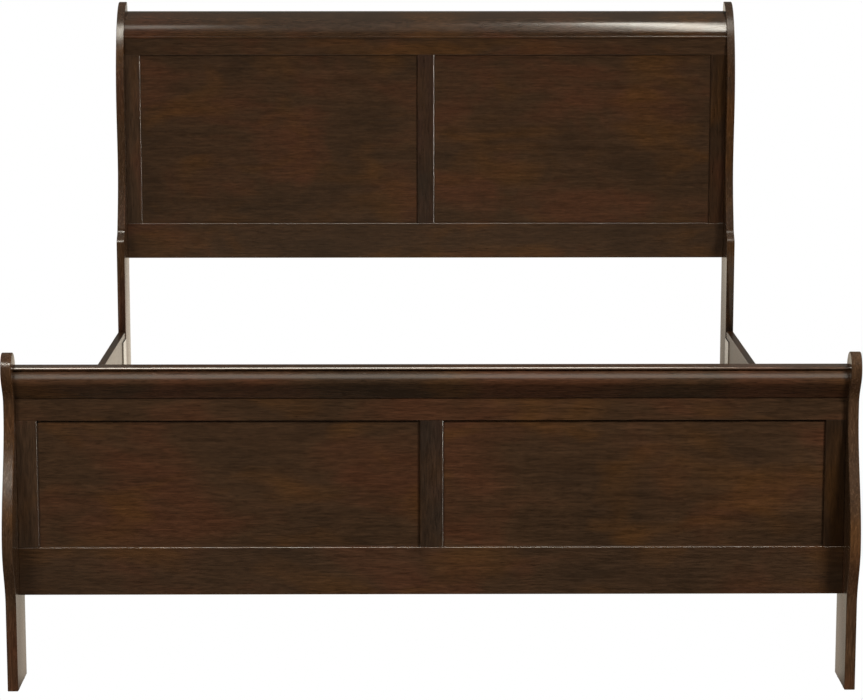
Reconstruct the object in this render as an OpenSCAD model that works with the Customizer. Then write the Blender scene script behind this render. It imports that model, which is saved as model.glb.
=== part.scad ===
// Queen-size sleigh bed. A panelled headboard and footboard hang between S-shaped plank
// posts. Two side rails hook into the posts and carry slats, centre legs and levellers.
// The origin is on the floor at the centre of the footprint. +X is the right-hand side
// seen from the foot, +Y points to the headboard. Outlines are written as [depth, height],
// where depth 0 is the flat edge of a straight leg and grows towards the headboard.

/* [Bed] */
// Width over the outer faces of the posts
bed_w = 1600; // [1560:1:1640]
// Clear distance between the straight legs of the two boards
leg_gap = 1968; // [1940:1:2000]
// Height of the headboard posts
head_h = 1194; // [1190:0.5:1200]
// Height of the footboard posts
foot_h = 646; // [644:0.5:650]

/* [Posts] */
// Thickness of a post plank
post_t = 20; // [20:0.5:24]
// Depth of the straight leg
leg_d = 120; // [118:0.5:124]
// How far the footboard's belly stands proud of its leg
belly = 28.5; // [24:0.5:32]
// How far the headboard's scroll reaches from the front of its leg
scroll_d = 194.5; // [190:0.5:200]
// Height of a nail-on glide
glide_h = 3; // [2:0.5:4]

/* [Panel frames] */
// Thickness of the frame rails and stiles
frame_t = 20; // [20:0.5:24]
// Thickness of the flat panels
panel_t = 6; // [5:0.5:7]
// Depth of the grooves that hold the panels
groove_d = 8; // [7:0.5:10]
// Width of the side stiles
stile_w = 40; // [36:1:44]
// Width of the centre stile
center_w = 46; // [40:1:50]
// Recess of the headboard frame behind the front of its legs
head_face = 93; // [92:0.5:95]
// Recess of the footboard frame behind the front of its legs
foot_face = 52; // [50:0.5:53]

/* [Side rails] */
// Thickness of a side rail
rail_t = 18; // [16:0.5:18]
// Height of a side rail
rail_h = 160; // [150:1:165]
// Height of the rails' top edge above the floor
rail_top = 350; // [345:1:355]
// Thickness of the hook bracket's steel
steel_t = 2.5; // [2:0.5:3]

/* [Slats and centre legs] */
// Number of slats
slat_n = 4; // [4:1:4]
// Number of centre legs, one under each slat towards the headboard
prop_n = 3; // [3:1:3]
// Width of a slat
slat_w = 90; // [70:1:100]
// Thickness of a slat
slat_t = 18; // [16:1:22]
// Side of a square centre leg
prop_w = 45; // [40:1:50]

/* [Hidden] */

$fn = 32;
steps = 12;        // straight pieces in one curved stretch of an outline
fit = 0.05;        // play around a screw, pin or dowel in its hole

half_w = bed_w/2;
inner_x = half_w - post_t;
post_x = half_w - post_t/2;
bed_l = belly + leg_d + leg_gap + scroll_d;
foot_y = belly - bed_l/2;               // depth 0 of the footboard
foot_edge = foot_y + leg_d;             // inner edge of the footboard's legs
head_y = foot_edge + leg_gap;           // depth 0 of the headboard, its legs' inner edge

// Heights of the frames
foot_crest_top = foot_h - 27.5;
foot_frame = [177, 270, foot_h - 134.5, foot_h - 90];
head_crest_top = head_h - 24;
head_frame = [531, 623, head_h - 134, head_h - 90];

// Side rails, ledgers, slats
rail_x = half_w - rail_t;
rail_z = rail_top - rail_h;
ledger_w = 25;
ledger_h = 30;
ledger_z = rail_z + 10;
ledger_l = leg_gap - 160;
slat_z = ledger_z + ledger_h;
slat_gap = 3;
slat_pitch = 500;

// Rail hooks
bracket_z = 222;
bracket_h = 110;
bracket_l = 70;
plate_w = 16;
plate_z = 205;
plate_h = 140;
tongue_t = 2.5;
tongue_h = 20;
tongue_l = 13;
hook_drop = 8;
hook_zs = [238, 292];   // lower edges of the two tongues
slot_w = 5;
pocket_w = 6;

// Levellers
pad_r = 16;
pad_h = 8;
pad_gap = 0.5;
stem_r = 3.95;
nut_bore_r = 4;
nut_barrel_r = 5.2;
nut_flange_r = 11;
prop_z = pad_h + pad_gap;

dowel_r = 4;
dowel_l = 40;
dowel_in_post = 12;
crest_dowel_l = 30;

frame_wood = "#3f2b20";
panel_wood = "#402c22";
pine = "#d9bd8c";
beech = "#cfa878";
zinc = "#c9ccce";
black = "#1d1d1f";

// ---- curves in [depth, height], each leaving out its first point ----

// Leaves upright and arrives upright
function s_curve(a, b) = [for (i = [1:steps]) let (t = i/steps)
    [a[0] + (b[0] - a[0])*(1 - cos(180*t))/2, a[1] + (b[1] - a[1])*t]];

// Leaves slanting and arrives upright
function swell(a, b) = [for (i = [1:steps]) let (t = i/steps)
    [a[0] + (b[0] - a[0])*sin(90*t), a[1] + (b[1] - a[1])*t]];

// Leaves upright and arrives slanting
function lean(a, b) = [for (i = [1:steps]) let (t = i/steps)
    [a[0] + (b[0] - a[0])*t*t, a[1] + (b[1] - a[1])*t]];

// Quarter ellipse that leaves upright and arrives level
function over(a, b) = [for (i = [1:steps]) let (t = 90*i/steps)
    [a[0] + (b[0] - a[0])*(1 - cos(t)), a[1] + (b[1] - a[1])*sin(t)]];

// Quarter ellipse that leaves level and arrives upright
function down(a, b) = [for (i = [1:steps]) let (t = 90*i/steps)
    [a[0] + (b[0] - a[0])*sin(t), a[1] + (b[1] - a[1])*(1 - cos(t))]];

function reversed(p) = [for (i = [len(p) - 1:-1:0]) p[i]];

// ---- outlines ----

// Footboard post: straight leg, belly, neck, scroll, then the mattress side
foot_belly = [-belly, 283];
foot_neck = [35, 534];
foot_neck_top = [35, 547];
foot_scroll = [7, foot_h - 34];
foot_top = [33, foot_h];
foot_back = [68, foot_h - 40];
foot_waist = [84, 516];
foot_shoulder = [96, 432];
foot_outline = concat(
    [[0, glide_h], [0, 168]],
    s_curve([0, 168], foot_belly),
    s_curve(foot_belly, foot_neck),
    [foot_neck_top],
    s_curve(foot_neck_top, foot_scroll),
    over(foot_scroll, foot_top),
    down(foot_top, foot_back),
    s_curve(foot_back, foot_waist),
    reversed(concat([[leg_d, 385]], s_curve([leg_d, 385], foot_shoulder),
        swell(foot_shoulder, foot_waist))),
    [[leg_d, glide_h]]);

// Headboard post: straight leg, shoulder, swell, long sweep back, scroll, neck and belly
head_shoulder = [26, 616];
head_swell = [65, 781];
head_waist = [55, 950];
head_top = [180, head_h];
head_scroll = [scroll_d, head_h - 34];
head_neck_top = [124, 1040];
head_neck = [124, 980];
head_belly = [leg_d + belly, 690];
head_outline = concat(
    [[0, glide_h], [0, 580]],
    s_curve([0, 580], head_shoulder),
    swell(head_shoulder, head_swell),
    s_curve(head_swell, head_waist),
    over(head_waist, head_top),
    down(head_top, head_scroll),
    s_curve(head_scroll, head_neck_top),
    [head_neck],
    s_curve(head_neck, head_belly),
    s_curve(head_belly, [leg_d, 480]),
    [[leg_d, glide_h]]);

// Footboard crest: flat top with a round nose, a shallow quirk, a swell and a long slope
foot_crest_z = foot_frame[3];
nose_z = foot_crest_top - 6;
crest_slope = [31.5, foot_crest_top - 37];
crest_swell = [28, foot_crest_top - 29];
crest_quirk = [37.5, nose_z - 1];
crest_bead = [30.5, nose_z + 1.5];
foot_crest = concat(
    [[foot_face - 2.5, foot_crest_z], crest_slope],
    swell(crest_slope, crest_swell),
    lean(crest_swell, crest_quirk),
    [[crest_quirk[0], nose_z], [32, nose_z]],
    down([32, nose_z], crest_bead),
    over(crest_bead, [36, foot_crest_top - 0.5]),
    [[62, foot_crest_top]],
    down([62, foot_crest_top], [66, foot_crest_top - 4]),
    s_curve([66, foot_crest_top - 14], [foot_face + frame_t, foot_crest_z]));

// Headboard crest: lip, round sweep back, nose and underside of the scroll
lip_h = 5;
head_crest_z = head_frame[3];
crest_spring = [head_face + 1, head_crest_z + lip_h];
crest_nose = [scroll_d - 8, head_h - 41];
head_crest = concat(
    [[head_face - 3, head_crest_z], [head_face - 3, head_crest_z + lip_h], crest_spring],
    over(crest_spring, [178, head_crest_top]),
    down([178, head_crest_top], crest_nose),
    s_curve(crest_nose, [head_face + frame_t + 2, head_crest_z]));

// ---- helpers ----

// Extrudes a [depth, height] outline along X
module along_x(x, length) translate([x, 0, 0]) rotate([90, 0, 90]) linear_extrude(length) children();

// A board's section from corner to corner with rounded edges
ease_r = 3;
function eased(w, h) = [for (q = [0:3], a = [0:30:90]) let (t = 90*q + a)
    [(q == 1 || q == 2 ? ease_r : w - ease_r) + ease_r*cos(t),
     (q < 2 ? h - ease_r : ease_r) + ease_r*sin(t)]];

module flip(on, axis) {
    if (on) mirror(axis) children();
    else children();
}

// A corner where a rail meets a post. Inside it, y 0 is the leg's edge, the post is at
// y > 0, the rail at y < 0, and the middle of the bed is towards -x.
module at_corner(side, end)
    translate([side*post_x, end > 0 ? head_y : foot_edge, 0])
    flip(side < 0, [1, 0, 0]) flip(end < 0, [0, 1, 0]) children();

// A cylinder from point p along +X, or along -X with a negative length
module bar_x(p, r, length)
    translate(p) rotate([0, length < 0 ? -90 : 90, 0]) cylinder(r = r, h = abs(length));

// Countersunk screw with its flat head at z 0 and its shaft pointing down
module screw(head_r, r, length, play = 0) {
    translate([0, 0, r - head_r]) cylinder(r1 = r + play, r2 = head_r + play, h = head_r - r);
    translate([0, 0, -length - play]) cylinder(r = r + play, h = length + play);
}

// ---- dowels and glides of one board ----

// Every dowel of a board: p is its frame's [bottom, .., top] heights, y its mid-depth
module rail_end_dowels(p, y, play = 0) {
    zs = [p[0] + 25, p[1] - 25, (p[2] + p[3])/2];
    for (side = [-1, 1], z = zs)
        bar_x([side*(inner_x + dowel_in_post + play), y, z], dowel_r + play,
            -side*(dowel_l + 2*play));
}

module crest_end_dowels(y, z, play = 0)
    for (side = [-1, 1])
        bar_x([side*(inner_x + dowel_in_post + play), y, z], dowel_r + play,
            -side*(dowel_l + 2*play));

module crest_foot_dowels(y, z, play = 0)
    for (x = [-2:2])
        translate([x*inner_x*0.42, y, z - crest_dowel_l/2 - play])
            cylinder(r = dowel_r + play, h = crest_dowel_l + 2*play);

foot_mid = foot_y + foot_face + frame_t/2;
head_mid = head_y + head_face + frame_t/2;
foot_crest_dowel = [foot_y + 45, foot_crest_top - 26];
head_crest_dowel = [head_y + 140, head_crest_top - 34];

module all_foot_dowels(play = 0) {
    rail_end_dowels(foot_frame, foot_mid, play);
    crest_end_dowels(foot_crest_dowel[0], foot_crest_dowel[1], play);
    crest_foot_dowels(foot_mid, foot_crest_z, play);
}

module all_head_dowels(play = 0) {
    rail_end_dowels(head_frame, head_mid, play);
    crest_end_dowels(head_crest_dowel[0], head_crest_dowel[1], play);
    crest_foot_dowels(head_mid, head_crest_z, play);
}

glide_r = 9;
pin_r = 1.2;
pin_l = 14;

module glide_spots(y)
    for (side = [-1, 1], d = [25, leg_d - 25]) translate([side*post_x, y + d, 0]) children();

module glide() {
    cylinder(r1 = glide_r - 1, r2 = glide_r, h = 1);
    translate([0, 0, 1]) cylinder(r = glide_r, h = glide_h - 1);
    cylinder(r = pin_r, h = glide_h + pin_l);
}

// ---- rail hardware in a corner's own coordinates ----

face_x = -post_t/2;                       // inner face of the post
rail_face = half_w - rail_t - post_x;     // inner face of the rail
bracket_screw_spots = [for (y = [-22, -54], z = [bracket_z + 20, bracket_z + bracket_h - 20]) [y, z]];
plate_screw_zs = [plate_z + 8, (hook_zs[0] + tongue_h + hook_zs[1])/2 + 3, plate_z + plate_h - 8];

module bracket_screws_at(play = 0)
    for (s = bracket_screw_spots)
        translate([rail_face - steel_t, s[0], s[1]]) rotate([0, -90, 0]) screw(4, 2, 16, play);

module plate_screws_at(play = 0)
    for (z = plate_screw_zs)
        translate([0, 0, z]) rotate([90, 0, 0]) screw(3.6, 1.75, 26, play);

// A hooked tongue as [y, height above its lower edge]
tongue = [[-0.5, 0], [-0.5, tongue_h], [tongue_l, tongue_h], [tongue_l, -hook_drop],
    [steel_t + 3, -hook_drop], [steel_t + 0.6, 0]];

module hook_bracket(side, end) color(zinc) at_corner(side, end) difference() {
    union() {
        translate([rail_face - steel_t, -bracket_l, bracket_z])
            cube([steel_t, bracket_l - fit, bracket_h]);
        translate([rail_face - steel_t, -steel_t, bracket_z])
            cube([post_t/2 - rail_face + steel_t - 2, steel_t - fit, bracket_h]);
        for (z = hook_zs)
            translate([0, 0, z]) along_x(-tongue_t/2, tongue_t) polygon(tongue);
    }
    bracket_screws_at(fit);
}

module slot_plate(side, end) color(zinc) at_corner(side, end) difference() {
    translate([-plate_w/2, 0, plate_z]) cube([plate_w, steel_t, plate_h]);
    for (z = hook_zs)
        translate([-slot_w/2, -1, z]) cube([slot_w, steel_t + 2, tongue_h + hook_drop + 1]);
    plate_screws_at(fit);
}

// Everything that is cut from a post for the slot plate and its hooks
module hook_mortise(side, end) at_corner(side, end) {
    translate([-plate_w/2 - fit, -1, plate_z - fit])
        cube([plate_w + 2*fit, steel_t + 1 + fit, plate_h + 2*fit]);
    for (z = hook_zs)
        translate([-pocket_w/2, steel_t - 1, z - hook_drop - 2])
            cube([pocket_w, tongue_l + 1, tongue_h + 2*hook_drop + 4]);
    plate_screws_at(fit);
}

// ---- posts ----

module post(side, end, outline, y)
    translate([0, y, 0]) along_x(side > 0 ? inner_x : -half_w, post_t) polygon(outline);

module foot_post(side) color(frame_wood) difference() {
    post(side, -1, foot_outline, foot_y);
    hook_mortise(side, -1);
    all_foot_dowels(fit);
    glide_spots(foot_y) cylinder(r = pin_r + fit, h = glide_h + pin_l + fit);
}

module head_post(side) color(frame_wood) difference() {
    post(side, 1, head_outline, head_y);
    hook_mortise(side, 1);
    all_head_dowels(fit);
    glide_spots(head_y) cylinder(r = pin_r + fit, h = glide_h + pin_l + fit);
}

module footboard_post_left() foot_post(-1);
module footboard_post_right() foot_post(1);
module headboard_post_left() head_post(-1);
module headboard_post_right() head_post(1);

// ---- crests ----

module footboard_crest() color(frame_wood) difference() {
    translate([0, foot_y, 0]) along_x(-inner_x, 2*inner_x) polygon(foot_crest);
    all_foot_dowels(fit);
}

module headboard_crest() color(frame_wood) difference() {
    translate([0, head_y, 0]) along_x(-inner_x, 2*inner_x) polygon(head_crest);
    all_head_dowels(fit);
}

// ---- frames and panels; y is the face, p the four heights of the frame ----

groove_y = (frame_t - panel_t)/2;
panel_lap = groove_d - 1;

module frame_rail(y, z0, z1, groove_z) difference() {
    translate([-inner_x, y, z0]) cube([2*inner_x, frame_t, z1 - z0]);
    translate([-inner_x - 1, y + groove_y, groove_z - groove_d])
        cube([2*inner_x + 2, panel_t, 2*groove_d]);
}

// A stile between the rails, with a stub tenon at each end and grooves on the given sides
module frame_stile(y, p, x0, x1, grooves) difference() {
    union() {
        translate([x0, y, p[1]]) cube([x1 - x0, frame_t, p[2] - p[1]]);
        translate([x0, y + groove_y, p[1] - panel_lap])
            cube([x1 - x0, panel_t, p[2] - p[1] + 2*panel_lap]);
    }
    for (x = grooves)
        translate([x - groove_d, y + groove_y, p[1] - groove_d])
            cube([2*groove_d, panel_t, p[2] - p[1] + 2*groove_d]);
}

module frame_panel(y, p, side) {
    x0 = center_w/2 - panel_lap;
    x1 = inner_x - stile_w + panel_lap;
    translate([side > 0 ? x0 : -x1, y + groove_y, p[1] - panel_lap])
        cube([x1 - x0, panel_t, p[2] - p[1] + 2*panel_lap]);
}

module footboard_top_rail() color(frame_wood) difference() {
    frame_rail(foot_y + foot_face, foot_frame[2], foot_frame[3], foot_frame[2]);
    all_foot_dowels(fit);
}

module footboard_bottom_rail() color(frame_wood) difference() {
    frame_rail(foot_y + foot_face, foot_frame[0], foot_frame[1], foot_frame[1]);
    all_foot_dowels(fit);
}

module headboard_top_rail() color(frame_wood) difference() {
    frame_rail(head_y + head_face, head_frame[2], head_frame[3], head_frame[2]);
    all_head_dowels(fit);
}

module headboard_bottom_rail() color(frame_wood) difference() {
    frame_rail(head_y + head_face, head_frame[0], head_frame[1], head_frame[1]);
    all_head_dowels(fit);
}

module side_stile(y, p, side) {
    x0 = inner_x - stile_w;
    frame_stile(y, p, side > 0 ? x0 : -inner_x, side > 0 ? inner_x : -x0, [side*x0]);
}

module center_stile(y, p) frame_stile(y, p, -center_w/2, center_w/2, [-center_w/2, center_w/2]);

module footboard_stile_left() color(frame_wood) side_stile(foot_y + foot_face, foot_frame, -1);
module footboard_stile_right() color(frame_wood) side_stile(foot_y + foot_face, foot_frame, 1);
module footboard_stile_center() color(frame_wood) center_stile(foot_y + foot_face, foot_frame);
module headboard_stile_left() color(frame_wood) side_stile(head_y + head_face, head_frame, -1);
module headboard_stile_right() color(frame_wood) side_stile(head_y + head_face, head_frame, 1);
module headboard_stile_center() color(frame_wood) center_stile(head_y + head_face, head_frame);

module footboard_panel_left() color(panel_wood) frame_panel(foot_y + foot_face, foot_frame, -1);
module footboard_panel_right() color(panel_wood) frame_panel(foot_y + foot_face, foot_frame, 1);
module headboard_panel_left() color(panel_wood) frame_panel(head_y + head_face, head_frame, -1);
module headboard_panel_right() color(panel_wood) frame_panel(head_y + head_face, head_frame, 1);

// ---- glue blocks behind the frames, dowels and glides ----

block_x = 30;
block_y = 18;
block_h = 90;

module corner_blocks(y, zs)
    for (side = [-1, 1], z = zs)
        translate([0, 0, z]) linear_extrude(block_h)
            polygon([[side*inner_x, y], [side*(inner_x - block_x), y], [side*inner_x, y + block_y]]);

module footboard_corner_blocks() color(beech) corner_blocks(foot_y + foot_face + frame_t, [190, 300]);
module headboard_corner_blocks() color(beech) corner_blocks(head_y + head_face + frame_t, [560, 740]);

module footboard_dowels() color(beech) all_foot_dowels();
module headboard_dowels() color(beech) all_head_dowels();

module footboard_glides() color(black) glide_spots(foot_y) glide();
module headboard_glides() color(black) glide_spots(head_y) glide();

// ---- side rails and ledgers ----

ledger_screw_n = 8;
ledger_screw_pitch = ledger_l/ledger_screw_n;
rail_mid_y = (foot_edge + head_y)/2;

module ledger_screws_at(side, play = 0)
    for (i = [0:ledger_screw_n - 1])
        translate([side*(rail_x - ledger_w),
            rail_mid_y - ledger_l/2 + (i + 0.5)*ledger_screw_pitch, ledger_z + 12])
            rotate([0, -side*90, 0]) screw(4, 2, 38, play);

module side_rail(side) color(frame_wood) difference() {
    translate([side > 0 ? rail_x : -half_w, foot_edge + steel_t, rail_z])
        cube([rail_t, leg_gap - 2*steel_t, rail_h]);
    for (end = [-1, 1]) at_corner(side, end) bracket_screws_at(fit);
    ledger_screws_at(side, fit);
}

module side_rail_left() side_rail(-1);
module side_rail_right() side_rail(1);

slat_ys = [for (i = [0:slat_n - 1]) rail_mid_y + (i - (slat_n - 1)/2)*slat_pitch];
slat_end_x = rail_x - ledger_w/2 - 2;

module slat_screws_at(play = 0)
    for (side = [-1, 1], y = slat_ys)
        translate([side*slat_end_x, y, slat_z + slat_t]) screw(4, 2, 34, play);

module ledger(side) color(pine) difference() {
    translate([side > 0 ? rail_x - ledger_w : -rail_x, rail_mid_y + ledger_l/2, ledger_z])
        rotate([90, 0, 0]) linear_extrude(ledger_l) polygon(eased(ledger_w, ledger_h));
    ledger_screws_at(side, fit);
    slat_screws_at(fit);
}

module ledger_left() ledger(-1);
module ledger_right() ledger(1);

module hook_bracket_foot_left() hook_bracket(-1, -1);
module hook_bracket_foot_right() hook_bracket(1, -1);
module hook_bracket_head_left() hook_bracket(-1, 1);
module hook_bracket_head_right() hook_bracket(1, 1);
module slot_plate_foot_left() slot_plate(-1, -1);
module slot_plate_foot_right() slot_plate(1, -1);
module slot_plate_head_left() slot_plate(-1, 1);
module slot_plate_head_right() slot_plate(1, 1);

module bracket_screws() color(zinc)
    for (side = [-1, 1], end = [-1, 1]) at_corner(side, end) bracket_screws_at();

module plate_screws() color(zinc)
    for (side = [-1, 1], end = [-1, 1]) at_corner(side, end) plate_screws_at();

module ledger_screws() color(zinc) for (side = [-1, 1]) ledger_screws_at(side);
module slat_screws() color(zinc) slat_screws_at();

// ---- slats, centre legs and levellers; i counts from the foot ----

prop_ys = [for (i = [slat_n - prop_n:slat_n - 1]) slat_ys[i]];

bolt_r = 4;
bolt_head_r = 8;
bolt_l = 60;

module bolt_at(i, play = 0)
    translate([0, prop_ys[i], slat_z + slat_t]) screw(bolt_head_r, bolt_r, bolt_l, play);

module slat(i) color(pine) difference() {
    translate([0, slat_ys[i] - slat_w/2, slat_z])
        along_x(slat_gap - rail_x, 2*(rail_x - slat_gap)) polygon(eased(slat_w, slat_t));
    if (i >= slat_n - prop_n) bolt_at(i - slat_n + prop_n, fit);
    slat_screws_at(fit);
}

stem_l = 45;
nut_flange_t = 1.5;
nut_l = 14;

module center_leg(i) color(pine) difference() {
    translate([-prop_w/2, prop_ys[i] - prop_w/2, prop_z])
        linear_extrude(slat_z - prop_z) polygon(eased(prop_w, prop_w));
    bolt_at(i, fit);
    translate([0, prop_ys[i], prop_z - 1]) {
        cylinder(r = nut_flange_r + fit, h = nut_flange_t + 1 + fit);
        cylinder(r = nut_barrel_r + fit, h = nut_l + 1 + fit);
        cylinder(r = nut_bore_r + 0.5, h = stem_l + 6);
    }
}

module leveller_nut(i) translate([0, prop_ys[i], prop_z]) difference() {
    union() {
        cylinder(r = nut_flange_r, h = nut_flange_t);
        cylinder(r = nut_barrel_r, h = nut_l);
    }
    translate([0, 0, -1]) cylinder(r = nut_bore_r, h = nut_l + 2);
}

module leveller(i) translate([0, prop_ys[i], 0]) {
    color(black) cylinder(r1 = pad_r - 2, r2 = pad_r, h = 2);
    color(black) translate([0, 0, 2]) cylinder(r = pad_r, h = pad_h - 2);
    color(zinc) translate([0, 0, pad_h]) cylinder(r = stem_r, h = stem_l);
}

module center_leg_bolts() color(zinc) for (i = [0:prop_n - 1]) bolt_at(i);
module leveller_nuts() color(zinc) for (i = [0:prop_n - 1]) leveller_nut(i);
module slat_1() slat(0);
module slat_2() slat(1);
module slat_3() slat(2);
module slat_4() slat(3);
module center_leg_1() center_leg(0);
module center_leg_2() center_leg(1);
module center_leg_3() center_leg(2);
module leveller_1() leveller(0);
module leveller_2() leveller(1);
module leveller_3() leveller(2);

footboard_post_left();
footboard_post_right();
footboard_crest();
footboard_top_rail();
footboard_bottom_rail();
footboard_stile_left();
footboard_stile_center();
footboard_stile_right();
footboard_panel_left();
footboard_panel_right();
footboard_corner_blocks();
footboard_dowels();
footboard_glides();
headboard_post_left();
headboard_post_right();
headboard_crest();
headboard_top_rail();
headboard_bottom_rail();
headboard_stile_left();
headboard_stile_center();
headboard_stile_right();
headboard_panel_left();
headboard_panel_right();
headboard_corner_blocks();
headboard_dowels();
headboard_glides();
side_rail_left();
side_rail_right();
ledger_left();
ledger_right();
hook_bracket_foot_left();
hook_bracket_foot_right();
hook_bracket_head_left();
hook_bracket_head_right();
slot_plate_foot_left();
slot_plate_foot_right();
slot_plate_head_left();
slot_plate_head_right();
bracket_screws();
plate_screws();
ledger_screws();
slat_screws();
slat_1();
slat_2();
slat_3();
slat_4();
center_leg_1();
center_leg_2();
center_leg_3();
center_leg_bolts();
leveller_nuts();
leveller_1();
leveller_2();
leveller_3();
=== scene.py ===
import math

import bmesh
import bpy
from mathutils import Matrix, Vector


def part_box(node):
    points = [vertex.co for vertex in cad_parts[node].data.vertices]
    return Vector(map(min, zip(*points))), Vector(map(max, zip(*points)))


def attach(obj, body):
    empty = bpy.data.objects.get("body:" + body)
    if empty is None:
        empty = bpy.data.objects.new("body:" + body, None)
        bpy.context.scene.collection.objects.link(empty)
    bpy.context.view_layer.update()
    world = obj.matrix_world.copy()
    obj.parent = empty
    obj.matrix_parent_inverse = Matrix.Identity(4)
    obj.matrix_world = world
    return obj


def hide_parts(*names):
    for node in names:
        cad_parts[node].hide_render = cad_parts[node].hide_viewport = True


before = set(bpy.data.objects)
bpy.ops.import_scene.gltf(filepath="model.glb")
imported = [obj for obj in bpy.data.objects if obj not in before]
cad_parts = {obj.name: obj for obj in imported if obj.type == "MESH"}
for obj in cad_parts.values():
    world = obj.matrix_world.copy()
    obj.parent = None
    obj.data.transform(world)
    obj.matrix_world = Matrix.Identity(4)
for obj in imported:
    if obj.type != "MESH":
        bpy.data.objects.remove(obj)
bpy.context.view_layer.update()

# ---- dimensions in metres ----

STEPS = 40             # straight pieces in one curved stretch of an outline
LEG_D = 0.120          # depth of a post's straight leg
BELLY = 0.0285         # how far a post's belly stands out from its leg
STICK = 0.0014         # width of the bevel round a panel opening
REVEAL = 0.007         # panel face behind the frame's face
PANEL_T = 0.006        # thickness of a panel
GROOVE = 0.008         # depth of the groove a panel sits in
FRAME_T = 0.020        # thickness of a rail or stile
LIP = 0.005            # height of the lip under the headboard crest

# roundings of the visible edges
POST_ARRIS = 0.0014    # between a post's side and its sawn edge
POST_CORNER = 0.0015   # corners of a post's outline
CREST_CORNER = 0.0007  # corners of a crest's profile
FRAME_EASE = 0.0013    # edges of rails and stiles
PANEL_ARRIS = 0.0008
SIDE_ARRIS = 0.0025    # edges of the side rails

SAME = 1e-5            # two points nearer than this are one
CLOSE = 1e-6           # slack in comparing two lengths

foot_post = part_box("footboard_post_left")
head_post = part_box("headboard_post_left")
FOOT_Y = foot_post[1].y - LEG_D      # depth 0 of the footboard's outlines
HEAD_Y = head_post[0].y              # depth 0 of the headboard's outlines
GLIDE_H = foot_post[0].z             # the posts stand on glides of this height
FOOT_H = foot_post[1].z              # top of the footboard's posts
HEAD_H = head_post[1].z              # top of the headboard's posts


# ---- curves in (depth, height), each leaving out its first point ----

def along(a, b, ease_y, ease_z):
    """A stretch from a to b that follows one easing in depth and one in height."""
    return [Vector((a[0] + (b[0] - a[0])*ease_y(i/STEPS), a[1] + (b[1] - a[1])*ease_z(i/STEPS)))
            for i in range(1, STEPS + 1)]


def sine(t):
    return math.sin(t*math.pi/2)


def versine(t):
    return 1 - math.cos(t*math.pi/2)


def s_curve(a, b):
    """Leaves upright and arrives upright."""
    return along(a, b, lambda t: (1 - math.cos(math.pi*t))/2, lambda t: t)


def swell(a, b):
    """Leaves slanting and arrives upright."""
    return along(a, b, sine, lambda t: t)


def lean(a, b):
    """Leaves upright and arrives slanting."""
    return along(a, b, lambda t: t*t, lambda t: t)


def over(a, b):
    """Leaves upright and arrives level."""
    return along(a, b, versine, sine)


def down(a, b):
    """Leaves level and arrives upright."""
    return along(a, b, sine, versine)


def points(*pairs):
    return [Vector(p) for p in pairs]


def foot_outline():
    """The sawn outline of a footboard post."""
    belly, neck = (-BELLY, 0.283), (0.035, 0.534)
    neck_top, scroll = (0.035, 0.547), (0.007, FOOT_H - 0.034)
    top, back = (0.033, FOOT_H), (0.068, FOOT_H - 0.040)
    waist, shoulder, knee = (0.084, 0.516), (0.096, 0.432), (LEG_D, 0.385)
    inner = points(knee) + s_curve(knee, shoulder) + swell(shoulder, waist)
    return (points((0, GLIDE_H), (0, 0.168)) + s_curve((0, 0.168), belly) + s_curve(belly, neck)
            + points(neck_top) + s_curve(neck_top, scroll) + over(scroll, top) + down(top, back)
            + s_curve(back, waist) + inner[::-1] + points((LEG_D, GLIDE_H)))


def head_outline():
    """The sawn outline of a headboard post."""
    shoulder, bulge, waist = (0.026, 0.616), (0.065, 0.781), (0.055, 0.950)
    top, scroll = (0.180, HEAD_H), (0.1945, HEAD_H - 0.034)
    neck_top, neck = (0.124, 1.040), (0.124, 0.980)
    belly, knee = (LEG_D + BELLY, 0.690), (LEG_D, 0.480)
    return (points((0, GLIDE_H), (0, 0.580)) + s_curve((0, 0.580), shoulder)
            + swell(shoulder, bulge) + s_curve(bulge, waist) + over(waist, top)
            + down(top, scroll) + s_curve(scroll, neck_top) + points(neck)
            + s_curve(neck, belly) + s_curve(belly, knee) + points((LEG_D, GLIDE_H)))


def foot_crest(face, z0, top):
    """A long slope, a swell, a shallow quirk, a round nose and the top."""
    nose = top - 0.006
    slope, belly, quirk = (0.0315, top - 0.037), (0.028, top - 0.029), (0.0375, nose - 0.001)
    bead = (0.0305, nose + 0.0015)
    return (points((face - 0.0025, z0), slope) + swell(slope, belly) + lean(belly, quirk)
            + points((quirk[0], nose), (0.032, nose)) + down((0.032, nose), bead)
            + over(bead, (0.036, top - 0.0005)) + points((0.062, top))
            + down((0.062, top), (0.066, top - 0.004))
            + s_curve((0.066, top - 0.014), (face + FRAME_T, z0)))


def head_crest(face, z0, top):
    """Lip, round sweep backwards and the underside of the roll."""
    spring, nose = (face + 0.001, z0 + LIP), (0.1865, top - 0.017)
    return (points((face - 0.003, z0), (face - 0.003, z0 + LIP), spring)
            + over(spring, (0.178, top)) + down((0.178, top), nose)
            + s_curve(nose, (face + FRAME_T + 0.002, z0)))


# ---- outline tools ----

SHARP_TURN = math.radians(25)       # a smaller turn belongs to a curve
CORNER_SHARE = 0.45                 # part of a side that one corner may take
LEAST_SPREAD = 0.4                  # keeps an inset point near a very sharp corner


def clean(outline):
    """Drops repeated points and turns the outline counter-clockwise."""
    kept = [p for i, p in enumerate(outline) if (p - outline[i - 1]).length > SAME]
    area = sum(p.x*q.y - q.x*p.y for p, q in zip(kept, kept[1:] + kept[:1]))
    return kept if area > 0 else kept[::-1]


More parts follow.
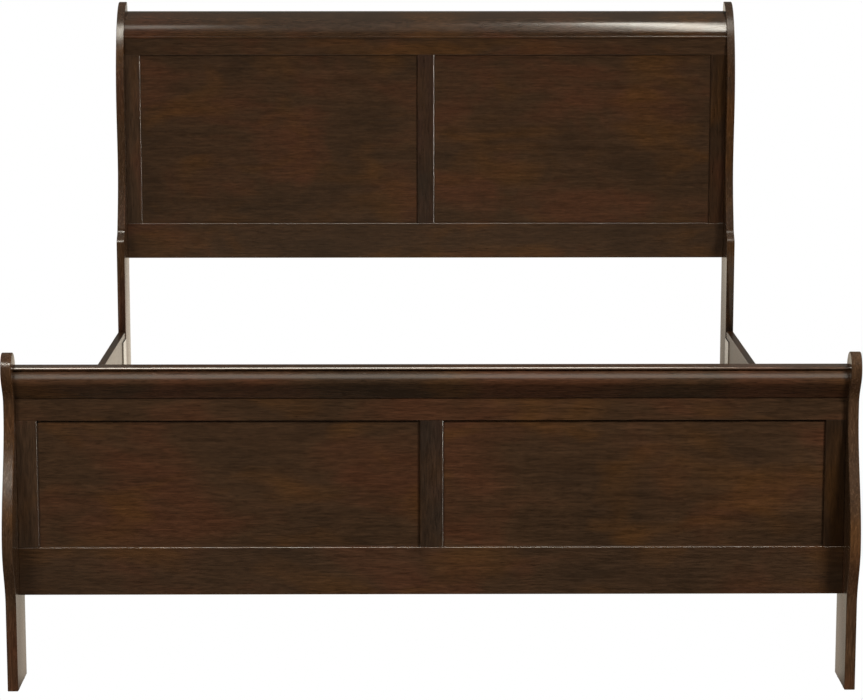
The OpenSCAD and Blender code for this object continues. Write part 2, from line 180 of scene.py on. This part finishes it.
def soften(outline, r):
    """Rounds each sharp corner of an outline, which starts a distance r from the corner."""
    made = []
    for i, q in enumerate(outline):
        p, s = outline[i - 1], outline[(i + 1) % len(outline)]
        into, out = q - p, s - q
        if into.angle(out) < SHARP_TURN:
            made.append(q)
            continue
        reach = min(r, into.length*CORNER_SHARE, out.length*CORNER_SHARE)
        a, b = q - into.normalized()*reach, q + out.normalized()*reach
        for t in (0, 0.25, 0.5, 0.75, 1):
            made.append(a*(1 - t)**2 + q*2*t*(1 - t) + b*t**2)
    return made


def inset(outline, d):
    """Moves a counter-clockwise outline inwards by d."""
    made = []
    for i, q in enumerate(outline):
        into = (q - outline[i - 1]).normalized()
        out = (outline[(i + 1) % len(outline)] - q).normalized()
        n1, n2 = Vector((-into.y, into.x)), Vector((-out.y, out.x))
        made.append(q + (n1 + n2)*d/max(LEAST_SPREAD, 1 + n1.dot(n2)))
    return made


# ---- mesh builders ----

SHARP_EDGE = math.radians(32)       # a smaller bend between faces shades smoothly
EASED_EDGE = math.radians(28)       # a smaller bend between a frame's faces isn't rounded
ARRIS_STEPS = 8                     # straight pieces in a post's rounded arris


def new_object(name, bm):
    """An object whose broad faces stay flat while its curves and arrises shade smoothly."""
    bmesh.ops.recalc_face_normals(bm, faces=bm.faces)
    mesh = bpy.data.meshes.new(name)
    for face in bm.faces:
        face.smooth = True
    bm.to_mesh(mesh)
    bm.free()
    mesh.set_sharp_from_angle(angle=SHARP_EDGE)
    ob = bpy.data.objects.new(name, mesh)
    bpy.context.scene.collection.objects.link(ob)
    return ob


def weigh_normals(ob):
    """Lets the broad faces set the shading of the roundings beside them."""
    weigh = ob.modifiers.new("weigh", "WEIGHTED_NORMAL")
    weigh.keep_sharp = True
    weigh.weight = 50
    bake_modifiers(ob)
    return ob


def prism(name, outline, y, x0, x1, arris):
    """Extrudes a (depth, height) outline from x0 to x1, with rounded arrises at both ends."""
    outline = clean(outline)
    rings = []
    turns = ([k*math.pi/(2*ARRIS_STEPS) for k in range(ARRIS_STEPS + 1)] if arris
             else [math.pi/2])
    for end, sign in ((x0, 1), (x1, -1)):
        found = [(end + sign*arris*(1 - math.sin(t)), inset(outline, arris*(1 - math.cos(t))))
                 for t in turns]
        rings += found[::-1] if sign > 0 else found
    bm = bmesh.new()
    made = [[bm.verts.new((x, y + p.x, p.y)) for p in ring] for x, ring in rings]
    count = len(outline)
    for a, b in zip(made, made[1:]):
        for i in range(count):
            j = (i + 1) % count
            bm.faces.new((a[i], a[j], b[j], b[i]))
    bm.faces.new(made[0])
    bm.faces.new(made[-1])
    return weigh_normals(new_object(name, bm))


def rounded_block(name, lo, hi, arris, segments=4):
    """A board between two corners with rounded arrises."""
    bm = bmesh.new()
    bmesh.ops.create_cube(bm, size=1)
    for v in bm.verts:
        v.co = Vector([(lo[k] + hi[k])/2 + v.co[k]*(hi[k] - lo[k]) for k in range(3)])
    bmesh.ops.bevel(bm, geom=bm.edges[:], offset=arris, segments=segments, profile=0.5,
                    affect="EDGES", clamp_overlap=True)
    return weigh_normals(new_object(name, bm))


def frame_bar(name, axis, u0, u1, v0, v1, y, lows=(), highs=()):
    """A frame rail or stile along x or z. Its face lies between v0 and v1. lows and highs
    are the panel openings along its two edges, where it has a groove and a bevel that is
    mitred at the opening's corners."""
    marks = {u0, u1}
    for a, b in [*lows, *highs]:
        marks |= {a - STICK, a, b, b + STICK}
    stations = []
    for u in sorted(marks):
        if u0 - CLOSE <= u <= u1 + CLOSE and (not stations or u - stations[-1] > SAME):
            stations.append(u)

    def is_open(u, openings):
        return any(a - CLOSE <= u <= b + CLOSE for a, b in openings)

    def edge(v, sign, openings, u):
        """The section along one edge at u: square, or with a bevel and a groove."""
        if not openings:
            return [(v, 0), (v, FRAME_T)]
        p = v + sign*STICK if is_open(u, openings) else v
        g = v + sign*(STICK - GROOVE)
        back = REVEAL + PANEL_T
        return [(v, 0), (p, REVEAL), (g, REVEAL), (g, back), (p, back), (p, FRAME_T)]

    bm = bmesh.new()
    rings, flags = [], []
    for u in stations:
        section = edge(v0, -1, lows, u) + edge(v1, 1, highs, u)[::-1]
        rings.append([bm.verts.new((u, y + d, v) if axis == "x" else (v, y + d, u))
                      for v, d in section])
        flags.append((is_open(u, lows), is_open(u, highs)))
    count = len(rings[0])
    for a, b, fa, fb in zip(rings, rings[1:], flags, flags[1:]):
        for i in range(count):
            j = (i + 1) % count
            quad = (a[i], a[j], b[j], b[i])
            low_bevel, high_bevel = lows and i == 0, highs and i == count - 2
            if (low_bevel and fa[0] != fb[0]) or (high_bevel and fa[1] != fb[1]):
                # a mitred quad isn't flat, so it is split along one of its diagonals
                if not lows or low_bevel != (fa[0] if low_bevel else fa[1]):
                    bm.faces.new((a[i], a[j], b[j]))
                    bm.faces.new((a[i], b[j], b[i]))
                else:
                    bm.faces.new((a[i], a[j], b[i]))
                    bm.faces.new((a[j], b[j], b[i]))
            else:
                bm.faces.new(quad)
    bm.faces.new(rings[0])
    bm.faces.new(rings[-1])
    ob = new_object(name, bm)
    ease = ob.modifiers.new("ease", "BEVEL")
    ease.width = FRAME_EASE
    ease.segments = 3
    ease.limit_method = "ANGLE"
    ease.angle_limit = EASED_EDGE
    return weigh_normals(ob)


def bake_modifiers(ob):
    """Replaces the object's mesh by its evaluated mesh."""
    graph = bpy.context.evaluated_depsgraph_get()
    mesh = bpy.data.meshes.new_from_object(ob.evaluated_get(graph), depsgraph=graph)
    ob.modifiers.clear()
    ob.data = mesh


def cut_boxes(ob, boxes):
    """Cuts boxes out of an object."""
    bm = bmesh.new()
    for lo, hi in boxes:
        made = bmesh.ops.create_cube(bm, size=1)["verts"]
        for v in made:
            v.co = Vector([(lo[k] + hi[k])/2 + v.co[k]*(hi[k] - lo[k]) for k in range(3)])
    cutter = new_object("cutter", bm)
    cut = ob.modifiers.new("cut", "BOOLEAN")
    cut.object = cutter
    cut.operation = "DIFFERENCE"
    cut.solver = "EXACT"
    bake_modifiers(ob)
    bpy.data.objects.remove(cutter)


# ---- node helpers ----

def add(tree, kind, inputs=None, **props):
    """A new node; an input is either a value or the socket it is linked to."""
    node = tree.nodes.new(kind)
    for key, value in props.items():
        setattr(node, key, value)
    for key, value in (inputs or {}).items():
        if isinstance(value, bpy.types.NodeSocket):
            tree.links.new(value, node.inputs[key])
        else:
            node.inputs[key].default_value = value
    return node


def srgb(r, g, b):
    """A colour from 0-255 values, as linear light."""
    def linear(c):
        c /= 255
        return c/12.92 if c <= 0.04045 else ((c + 0.055)/1.055)**2.4
    return (linear(r), linear(g), linear(b), 1)


def ramp(tree, fac, *stops):
    """A colour ramp of (place, grey or colour) stops."""
    node = add(tree, "ShaderNodeValToRGB", {"Fac": fac})
    found = node.color_ramp.elements
    while len(found) < len(stops):
        found.new(0.5)
    for element, (place, value) in zip(found, stops):
        element.position = place
        element.color = value if isinstance(value, tuple) else (value, value, value, 1)
    return node.outputs["Color"]


MIX_A, MIX_B, MIX_RESULT = 6, 7, 2    # the colour sockets of a Mix node


def mix(tree, kind, fac, a, b):
    node = add(tree, "ShaderNodeMix", {"Factor": fac}, data_type="RGBA", blend_type=kind)
    for socket, value in ((node.inputs[MIX_A], a), (node.inputs[MIX_B], b)):
        if isinstance(value, bpy.types.NodeSocket):
            tree.links.new(value, socket)
        else:
            socket.default_value = value
    return node.outputs[MIX_RESULT]


SEED_SHIFT = (3.7, 1.9, 5.3)          # each seed moves the noise this far, in features


def noise(tree, coords, axis, across, lengthwise, seed, detail=2.0, rough=0.5, warp=0.0):
    """Noise drawn out along the grain: features per metre across and along the axis."""
    scale = [across]*3
    scale[axis] = lengthwise
    moved = add(tree, "ShaderNodeMapping",
                {"Vector": coords, "Location": [seed*d for d in SEED_SHIFT], "Scale": scale})
    made = add(tree, "ShaderNodeTexNoise",
               {"Vector": moved.outputs["Vector"], "Scale": 1.0, "Detail": detail,
                "Roughness": rough, "Distortion": warp})
    return made.outputs["Fac"]


def start_material(name):
    """A new material, its empty node tree and the piece's own coordinates in metres."""
    mat = bpy.data.materials.new(name)
    mat.use_nodes = True
    tree = mat.node_tree
    tree.nodes.clear()
    coords = add(tree, "ShaderNodeTexCoord").outputs["Object"]
    return mat, tree, coords


def end_material(tree, shader):
    add(tree, "ShaderNodeOutputMaterial", {"Surface": shader.outputs[0]})


def bump(tree, height, distance, strength, below=None):
    """A bump on top of the one below."""
    inputs = {"Height": height, "Distance": distance, "Strength": strength}
    if below is not None:
        inputs["Normal"] = below
    return add(tree, "ShaderNodeBump", inputs).outputs["Normal"]


# ---- materials ----

def stained_wood(name, axis, seed, tone=1.0, gloss=0.30, relief=1.0):
    """Dark brown stain under satin lacquer, with red and amber clouds and fine pores.
    Tone scales the colour, and on the posts and stiles it paints in their light and shade; gloss
    is the mean roughness and relief scales the bumps."""
    mat, tree, xyz = start_material(name)
    cloud = noise(tree, xyz, axis, 7, 3.5, seed, 3, 0.55, 0.4)
    amber = noise(tree, xyz, axis, 9, 4.5, seed + 11, 2, 0.5, 0.6)
    streak = noise(tree, xyz, axis, 95, 3.2, seed + 23, 3, 0.6, 0.2)
    figure = noise(tree, xyz, axis, 330, 28, seed + 31, 2, 0.6, 0.8)
    pore = noise(tree, xyz, axis, 1500, 70, seed + 41, 1, 0.5)

    def toned(r, g, b):
        return tuple(c*tone for c in srgb(r, g, b)[:3]) + (1,)

    colour = ramp(tree, cloud, (0.32, toned(47, 34, 24)), (0.50, toned(55, 39, 27)),
                  (0.66, toned(64, 40, 27)))
    colour = mix(tree, "MIX", ramp(tree, amber, (0.52, 0.0), (0.70, 0.65)), colour,
                 toned(71, 46, 23))
    colour = mix(tree, "MULTIPLY", 1.0, colour, ramp(tree, streak, (0.3, 0.84), (0.7, 1.15)))
    colour = mix(tree, "MULTIPLY", 1.0, colour, ramp(tree, figure, (0.35, 0.72), (0.68, 1.30)))
    colour = mix(tree, "MULTIPLY", 1.0, colour, ramp(tree, pore, (0.32, 0.62), (0.46, 1.0)))
    wave = noise(tree, xyz, axis, 42, 11, seed + 53, 2, 0.5)
    normal = bump(tree, wave, 0.0006, 0.12*relief)
    normal = bump(tree, figure, 0.00015, 0.35*relief, normal)
    normal = bump(tree, pore, 0.00006, 0.5*relief, normal)
    rough = ramp(tree, figure, (0.2, gloss - 0.04), (0.8, gloss + 0.07))
    shader = add(tree, "ShaderNodeBsdfPrincipled",
                 {"Base Color": colour, "Roughness": rough, "Normal": normal,
                  "IOR": 1.5, "Coat Weight": 0.12, "Coat Roughness": 0.2})
    end_material(tree, shader)
    return mat


def raw_wood(name, axis, seed, pale, dark, flecks):
    """Unfinished wood with growth rings, streaks and flecks."""
    mat, tree, xyz = start_material(name)
    ring = noise(tree, xyz, axis, 60, 1.6, seed, 2, 0.55, 0.5)
    streak = noise(tree, xyz, axis, 420, 9, seed + 7, 3, 0.6)
    fleck = noise(tree, xyz, axis, 1100, 60, seed + 13, 1, 0.5)
    colour = ramp(tree, ring, (0.35, pale), (0.55, dark), (0.62, pale))
    colour = mix(tree, "MULTIPLY", 1.0, colour, ramp(tree, streak, (0.3, 0.82), (0.7, 1.08)))
    colour = mix(tree, "MULTIPLY", flecks, colour, ramp(tree, fleck, (0.3, 0.5), (0.42, 1.0)))
    normal = bump(tree, streak, 0.0002, 0.4)
    normal = bump(tree, fleck, 0.0001, 0.4, normal)
    rough = ramp(tree, streak, (0.2, 0.55), (0.8, 0.72))
    shader = add(tree, "ShaderNodeBsdfPrincipled",
                 {"Base Color": colour, "Roughness": rough, "Normal": normal})
    end_material(tree, shader)
    return mat


def zinc_steel():
    """Zinc-plated steel with a faint spangle and handling marks."""
    mat, tree, xyz = start_material("zinc_plate")
    spangle = noise(tree, xyz, 0, 140, 140, 3, 2, 0.6)
    mark = noise(tree, xyz, 2, 700, 60, 5, 2, 0.6)
    colour = ramp(tree, spangle, (0.3, srgb(190, 194, 198)), (0.7, srgb(226, 228, 230)))
    rough = ramp(tree, mark, (0.3, 0.24), (0.75, 0.42))
    normal = bump(tree, mark, 0.00004, 0.4)
    shader = add(tree, "ShaderNodeBsdfPrincipled",
                 {"Base Color": colour, "Roughness": rough, "Normal": normal, "Metallic": 1.0})
    end_material(tree, shader)
    return mat


def black_plastic():
    """Moulded black plastic with a fine matt grain."""
    mat, tree, xyz = start_material("moulded_plastic")
    grain = noise(tree, xyz, 0, 1800, 1800, 9, 2, 0.6)
    tint = noise(tree, xyz, 0, 60, 60, 4, 2, 0.5)
    colour = ramp(tree, tint, (0.3, srgb(26, 26, 27)), (0.7, srgb(38, 38, 39)))
    rough = ramp(tree, grain, (0.3, 0.42), (0.7, 0.58))
    normal = bump(tree, grain, 0.00008, 0.5)
    shader = add(tree, "ShaderNodeBsdfPrincipled",
                 {"Base Color": colour, "Roughness": rough, "Normal": normal})
    end_material(tree, shader)
    return mat


X, Y, Z = 0, 1, 2


def stains(kind, axis, seed, step, tones, **look):
    """A stained wood for each tone, each with its own grain."""
    return [stained_wood(f"stain_{kind}_{i}", axis, seed + step*i, tone, **look)
            for i, tone in enumerate(tones)]


# the footboard's pieces come before the headboard's, and left comes before right
# Post tones are painted light: each post is lightened by its own amount, the footboard's right
# post most, to stand in for how brightly it is lit.
wood_post = stains("post", Z, 3, 17, (1.2, 1.42, 1.2, 1.1), gloss=0.24, relief=0.5)
wood_crest = stains("crest", X, 5, 19, (1.0, 1.0), gloss=0.2, relief=0.4)
wood_rail = stains("rail", X, 9, 13, (1.0, 1.0, 1.0, 1.0), relief=0.5)
# Stile tones are painted shade: the centre and right stiles are darker than the left ones to stand
# in for the lighting on them, the right ones for the shadow of the right post.
wood_stile = stains("stile", Z, 4, 29, (1.0, 0.46, 0.64, 1.0, 0.46, 0.64), relief=0.4)
wood_panel = stains("panel", X, 2, 7, (1.0, 1.0, 1.0, 1.0), gloss=0.34)
wood_side = stains("side", Y, 6, 23, (1.0, 1.0))
pine = {k: raw_wood(f"pine_{'xyz'[k]}", k, 3 + k, srgb(226, 200, 152), srgb(196, 156, 100), 0.5)
        for k in (X, Y, Z)}
beech = {k: raw_wood(f"beech_{'xyz'[k]}", k, 8 + k, srgb(214, 176, 128), srgb(192, 148, 98), 0.9)
         for k in (X, Z)}
zinc = zinc_steel()
plastic = black_plastic()


# ---- pieces ----

def place(ob, slot, material, node):
    """Lets a piece stand in for a CAD node of the fixed body."""
    ob.data.materials.clear()
    ob.data.materials.append(material)
    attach(ob, "bed_frame")
    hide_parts(node)


PLATE_PLAY = Vector((0.00005, 0.00005, 0.00005))    # round a slot plate in its mortise
POCKET_HALF, POCKET_H = 0.003, 0.040                # half width and height of a hook pocket
POCKET_START, POCKET_END = 0.001, 0.0155            # its reach behind the post's edge
POCKET_LIFTS = (0.023, 0.077)                       # above the slot plate's lower edge

boards = (("footboard", "foot", foot_outline(), foot_crest, FOOT_Y, -1),
          ("headboard", "head", head_outline(), head_crest, HEAD_Y, 1))
tags = ("left", "right")

for b, (board, short, outline, crest, y0, end) in enumerate(boards):
    for s, tag in enumerate(tags):
        node = f"{board}_post_{tag}"
        lo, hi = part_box(node)
        ob = prism("wood_" + node, soften(clean(outline), POST_CORNER), y0, lo.x, hi.x,
                   POST_ARRIS)
        plate_lo, plate_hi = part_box(f"slot_plate_{short}_{tag}")
        cuts = [(plate_lo - PLATE_PLAY, plate_hi + PLATE_PLAY)]
        mid = (plate_lo.x + plate_hi.x)/2
        edge = plate_lo.y if end > 0 else plate_hi.y
        near, far = sorted((edge + end*POCKET_START, edge + end*POCKET_END))
        for lift in POCKET_LIFTS:
            cuts.append(((mid - POCKET_HALF, near, plate_lo.z + lift),
                         (mid + POCKET_HALF, far, plate_lo.z + lift + POCKET_H)))
        cut_boxes(ob, cuts)
        place(ob, "stained_frame", wood_post[2*b + s], node)

    lo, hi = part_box(f"{board}_crest")
    top_lo, top_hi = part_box(f"{board}_top_rail")
    bottom_lo, bottom_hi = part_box(f"{board}_bottom_rail")
    face_y = top_lo.y
    ob = prism(f"wood_{board}_crest", soften(clean(crest(face_y - y0, lo.z, hi.z)), CREST_CORNER),
               y0, lo.x, hi.x, 0)
    place(ob, "stained_frame", wood_crest[b], f"{board}_crest")

    inner = top_hi.x
    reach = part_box(f"{board}_stile_right")[0].x
    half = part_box(f"{board}_stile_center")[1].x
    z1, z2 = bottom_hi.z, top_lo.z
    openings = [(-reach, -half), (half, reach)]
    bars = (
        ("top_rail", "x", -inner, inner, z2 + STICK, top_hi.z, openings, (), wood_rail[2*b]),
        ("bottom_rail", "x", -inner, inner, bottom_lo.z, z1 - STICK, (), openings,
         wood_rail[2*b + 1]),
        ("stile_left", "z", z1 - STICK, z2 + STICK, -inner, -reach - STICK, (), [(z1, z2)],
         wood_stile[3*b]),
        ("stile_center", "z", z1 - STICK, z2 + STICK, STICK - half, half - STICK, [(z1, z2)],
         [(z1, z2)], wood_stile[3*b + 1]),
        ("stile_right", "z", z1 - STICK, z2 + STICK, reach + STICK, inner, [(z1, z2)], (),
         wood_stile[3*b + 2]),
    )
    for part, axis, u0, u1, v0, v1, lows, highs, material in bars:
        ob = frame_bar(f"wood_{board}_{part}", axis, u0, u1, v0, v1, face_y, lows, highs)
        place(ob, "stained_frame", material, f"{board}_{part}")

    for s, tag in enumerate(tags):
        lo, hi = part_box(f"{board}_panel_{tag}")
        ob = rounded_block(f"wood_{board}_panel_{tag}", lo, hi, PANEL_ARRIS, 2)
        place(ob, "stained_panel", wood_panel[2*b + s], f"{board}_panel_{tag}")

for s, tag in enumerate(tags):
    lo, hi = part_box(f"side_rail_{tag}")
    ob = rounded_block(f"wood_side_rail_{tag}", lo, hi, SIDE_ARRIS)
    place(ob, "stained_frame", wood_side[s], f"side_rail_{tag}")

looks = (("ledger", pine[Y]), ("slat_screws", zinc), ("slat", pine[X]), ("center_leg_bolts", zinc),
         ("center_leg", pine[Z]), ("hook_bracket", zinc), ("slot_plate", zinc),
         ("bracket_screws", zinc), ("plate_screws", zinc), ("ledger_screws", zinc),
         ("leveller_nuts", zinc), ("footboard_corner", beech[Z]), ("headboard_corner", beech[Z]),
         ("footboard_dowels", beech[X]), ("headboard_dowels", beech[X]),
         ("footboard_glides", plastic), ("headboard_glides", plastic), ("leveller", plastic))
looks = sorted(looks, key=lambda pair: -len(pair[0]))    # the longest matching name counts
for name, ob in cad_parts.items():
    if ob.hide_render:
        continue
    material = next(m for start, m in looks if name.startswith(start))
    if not ob.data.materials:
        ob.data.materials.append(material)
    for i in range(len(ob.data.materials)):
        ob.data.materials[i] = material


# ---- floor ----

WARM = (1.0, 0.95, 0.84, 1)       # the studio's light
BEIGE = (1.0, 0.87, 0.70, 1)      # the floor as the object sees it
FLOOR_GLOW = 1.4
FLOOR_HALF = 30                   # half the floor's side
FLOOR_REACH = 2.0                 # the glow changes with depth this far each way
SIDE_REACH = 0.9                  # and with the side this far


def white_stage(name):
    """White to the camera. The object sees it dim in front of the bed, bright behind it and
    fairly bright between the posts, and darker on the right."""
    mat, tree, xyz = start_material(name)
    path = add(tree, "ShaderNodeLightPath")
    part = add(tree, "ShaderNodeSeparateXYZ", {"Vector": xyz})
    depth = add(tree, "ShaderNodeMapRange",
                {"Value": part.outputs["Y"], "From Min": -FLOOR_REACH, "From Max": FLOOR_REACH})
    glow = ramp(tree, depth.outputs[0], (0.215, 0.03), (0.25, 0.06), (0.72, 0.06), (0.83, 1.0))
    aside = add(tree, "ShaderNodeMath", {0: part.outputs["X"]}, operation="ABSOLUTE")
    within = ramp(tree, aside.outputs[0], (0.76, 1.0), (0.84, 0.0))
    between = ramp(tree, depth.outputs[0], (0.215, 0.0), (0.25, 0.5), (0.70, 0.4), (0.80, 0.0))
    side = add(tree, "ShaderNodeMapRange",
               {"Value": part.outputs["X"], "From Min": -SIDE_REACH, "From Max": SIDE_REACH})
    glow = mix(tree, "MULTIPLY", 1.0, glow, ramp(tree, side.outputs[0], (0.4, 0.9), (0.6, 0.31)))
    between = mix(tree, "MULTIPLY", 1.0, between,
                  ramp(tree, side.outputs[0], (0.4, 0.9), (0.6, 0.8)))
    glow = mix(tree, "ADD", within, glow, between)
    glow = mix(tree, "MULTIPLY", 1.0, glow, BEIGE)
    white = add(tree, "ShaderNodeEmission", {"Color": (1, 1, 1, 1), "Strength": 1.0})
    soft = add(tree, "ShaderNodeEmission", {"Color": glow, "Strength": FLOOR_GLOW})
    both = add(tree, "ShaderNodeMixShader", {0: path.outputs["Is Camera Ray"],
                                             1: soft.outputs[0], 2: white.outputs[0]})
    end_material(tree, both)
    return mat


bm = bmesh.new()
bmesh.ops.create_grid(bm, x_segments=8, y_segments=8, size=FLOOR_HALF)
floor = new_object("studio_floor", bm)
floor.data.materials.append(white_stage("floor_white"))

# ---- surroundings: white to the camera, a softly shaded studio to the object ----

world = bpy.data.worlds.new("studio")
bpy.context.scene.world = world
world.use_nodes = True
tree = world.node_tree
tree.nodes.clear()
direction = add(tree, "ShaderNodeTexCoord").outputs["Generated"]
parts = add(tree, "ShaderNodeSeparateXYZ", {"Vector": direction})
front = ramp(tree, parts.outputs["Z"], (0.0, 0.03), (0.40, 0.04), (0.58, 0.25), (0.70, 0.25),
             (0.82, 0.2), (1.0, 0.2))
back = ramp(tree, parts.outputs["Z"], (0.0, 1.0), (0.02, 0.9), (0.08, 0.12), (0.60, 0.12),
            (1.0, 0.3))
turn = add(tree, "ShaderNodeMapRange", {"Value": parts.outputs["Y"], "From Min": -0.35,
                                        "From Max": 0.15})
around = mix(tree, "MULTIPLY", 1.0, mix(tree, "MIX", turn.outputs[0], front, back), WARM)
path = add(tree, "ShaderNodeLightPath")
seen = mix(tree, "MIX", path.outputs["Is Camera Ray"], around, (1, 1, 1, 1))
sky = add(tree, "ShaderNodeBackground", {"Color": seen, "Strength": 1.0})
add(tree, "ShaderNodeOutputWorld", {"Surface": sky.outputs[0]})


# ---- lights ----

KEY_SIZE, ABOVE_SIZE = 1.2, 2.4
HEAD_ROLL = (0.65, 1.05, 1.15), (-0.75, 1.05, 1.15)    # right and left on the headboard's crest


def softbox(name, at, aim, wide, high, power):
    data = bpy.data.lights.new(name, "AREA")
    data.shape = "RECTANGLE"
    data.size, data.size_y, data.energy = wide, high, power
    data.color = WARM[:3]
    ob = bpy.data.objects.new(name, data)
    bpy.context.scene.collection.objects.link(ob)
    ob.location = at
    ob.rotation_mode = "QUATERNION"
    ob.rotation_quaternion = (Vector(aim) - Vector(at)).to_track_quat("-Z", "Y")
    return ob


def fill(name, at, aim, size, power):
    """A square light that isn't seen in reflections."""
    softbox(name, at, aim, size, size, power).visible_glossy = False


def highlight(name, at, aim, wide, high, power, *names):
    """A light that shows only as a reflection, on the named pieces."""
    ob = softbox(name, at, aim, wide, high, power)
    ob.visible_diffuse = False
    lit = bpy.data.collections.new(name + "_lights")
    for piece in names:
        lit.objects.link(bpy.data.objects["wood_" + piece])
    ob.light_linking.receiver_collection = lit


fill("front_right", (2.5, -4.6, 3.4), (0, -1.0, 0.5), KEY_SIZE, 295)
fill("front_left", (-2.2, -4.4, 2.4), (0, -1.0, 0.5), KEY_SIZE, 108)
fill("above", (0.3, -0.2, 4.2), (0, -0.1, 0.5), ABOVE_SIZE, 60)

# the scrolls, the rolls and the nose
highlight("head_right", (1.02, -0.5, 3.4), HEAD_ROLL[0], 0.35, 2.8, 76, "headboard_crest")
highlight("head_right_post", (0.9, -0.2, 3.4), (0.79, 1.05, 1.15), 0.3, 1.0, 9,
          "headboard_post_right")
highlight("head_left", (-0.98, -0.4, 3.4), HEAD_ROLL[1], 0.3, 1.0, 4, "headboard_crest")
highlight("head_left_post", (-1.0, -0.8, 3.4), (-0.79, 1.05, 1.15), 0.35, 0.9, 24,
          "headboard_post_left")
highlight("foot_nose", (-0.3, -1.3, 3.2), (-0.3, -1.1, 0.6), 2.0, 1.6, 240, "footboard_crest")
highlight("foot_sheen", (0, -4.3, 3.0), (0, -1.1, 0.6), 3.4, 1.8, 38, "footboard_crest")
highlight("foot_post", (-1.25, -4.1, 2.8), (-0.79, -1.1, 0.63), 0.5, 0.25, 22,
          "footboard_post_left")

# the edges round the panels
highlight("foot_edges", (0, -2.1, 3.2), (0, -1.1, 0.3), 2.4, 1.0, 290, "footboard_bottom_rail")
highlight("head_edges", (0, -0.1, 3.9), (0, 1.05, 0.65), 2.4, 1.0, 240, "headboard_bottom_rail")
highlight("foot_side", (2.6, -2.6, 0.8), (0, -1.07, 0.4), 0.5, 1.4, 430,
          "footboard_stile_left", "footboard_stile_center")
highlight("head_side", (2.6, -0.6, 1.0), (0, 1.05, 0.85), 0.5, 1.4, 310,
          "headboard_stile_left", "headboard_stile_center")

# ---- camera ----

EYE = (-0.037, -6.244, 1.525)
YAW, PITCH = math.radians(0.41), math.radians(9.64)    # to the right and down
SENSOR_MM, LENS_MM = 36, 117.05
CLIP_END = 200

look = Vector((math.sin(YAW)*math.cos(PITCH), math.cos(YAW)*math.cos(PITCH), -math.sin(PITCH)))
camera = bpy.data.objects.new("camera", bpy.data.cameras.new("camera"))
bpy.context.scene.collection.objects.link(camera)
camera.location = EYE
camera.rotation_mode = "QUATERNION"
camera.rotation_quaternion = look.to_track_quat("-Z", "Y")
camera.data.sensor_width = SENSOR_MM
camera.data.lens = LENS_MM
camera.data.clip_end = CLIP_END
bpy.context.scene.camera = camera
bpy.context.scene.view_settings.view_transform = "Standard"
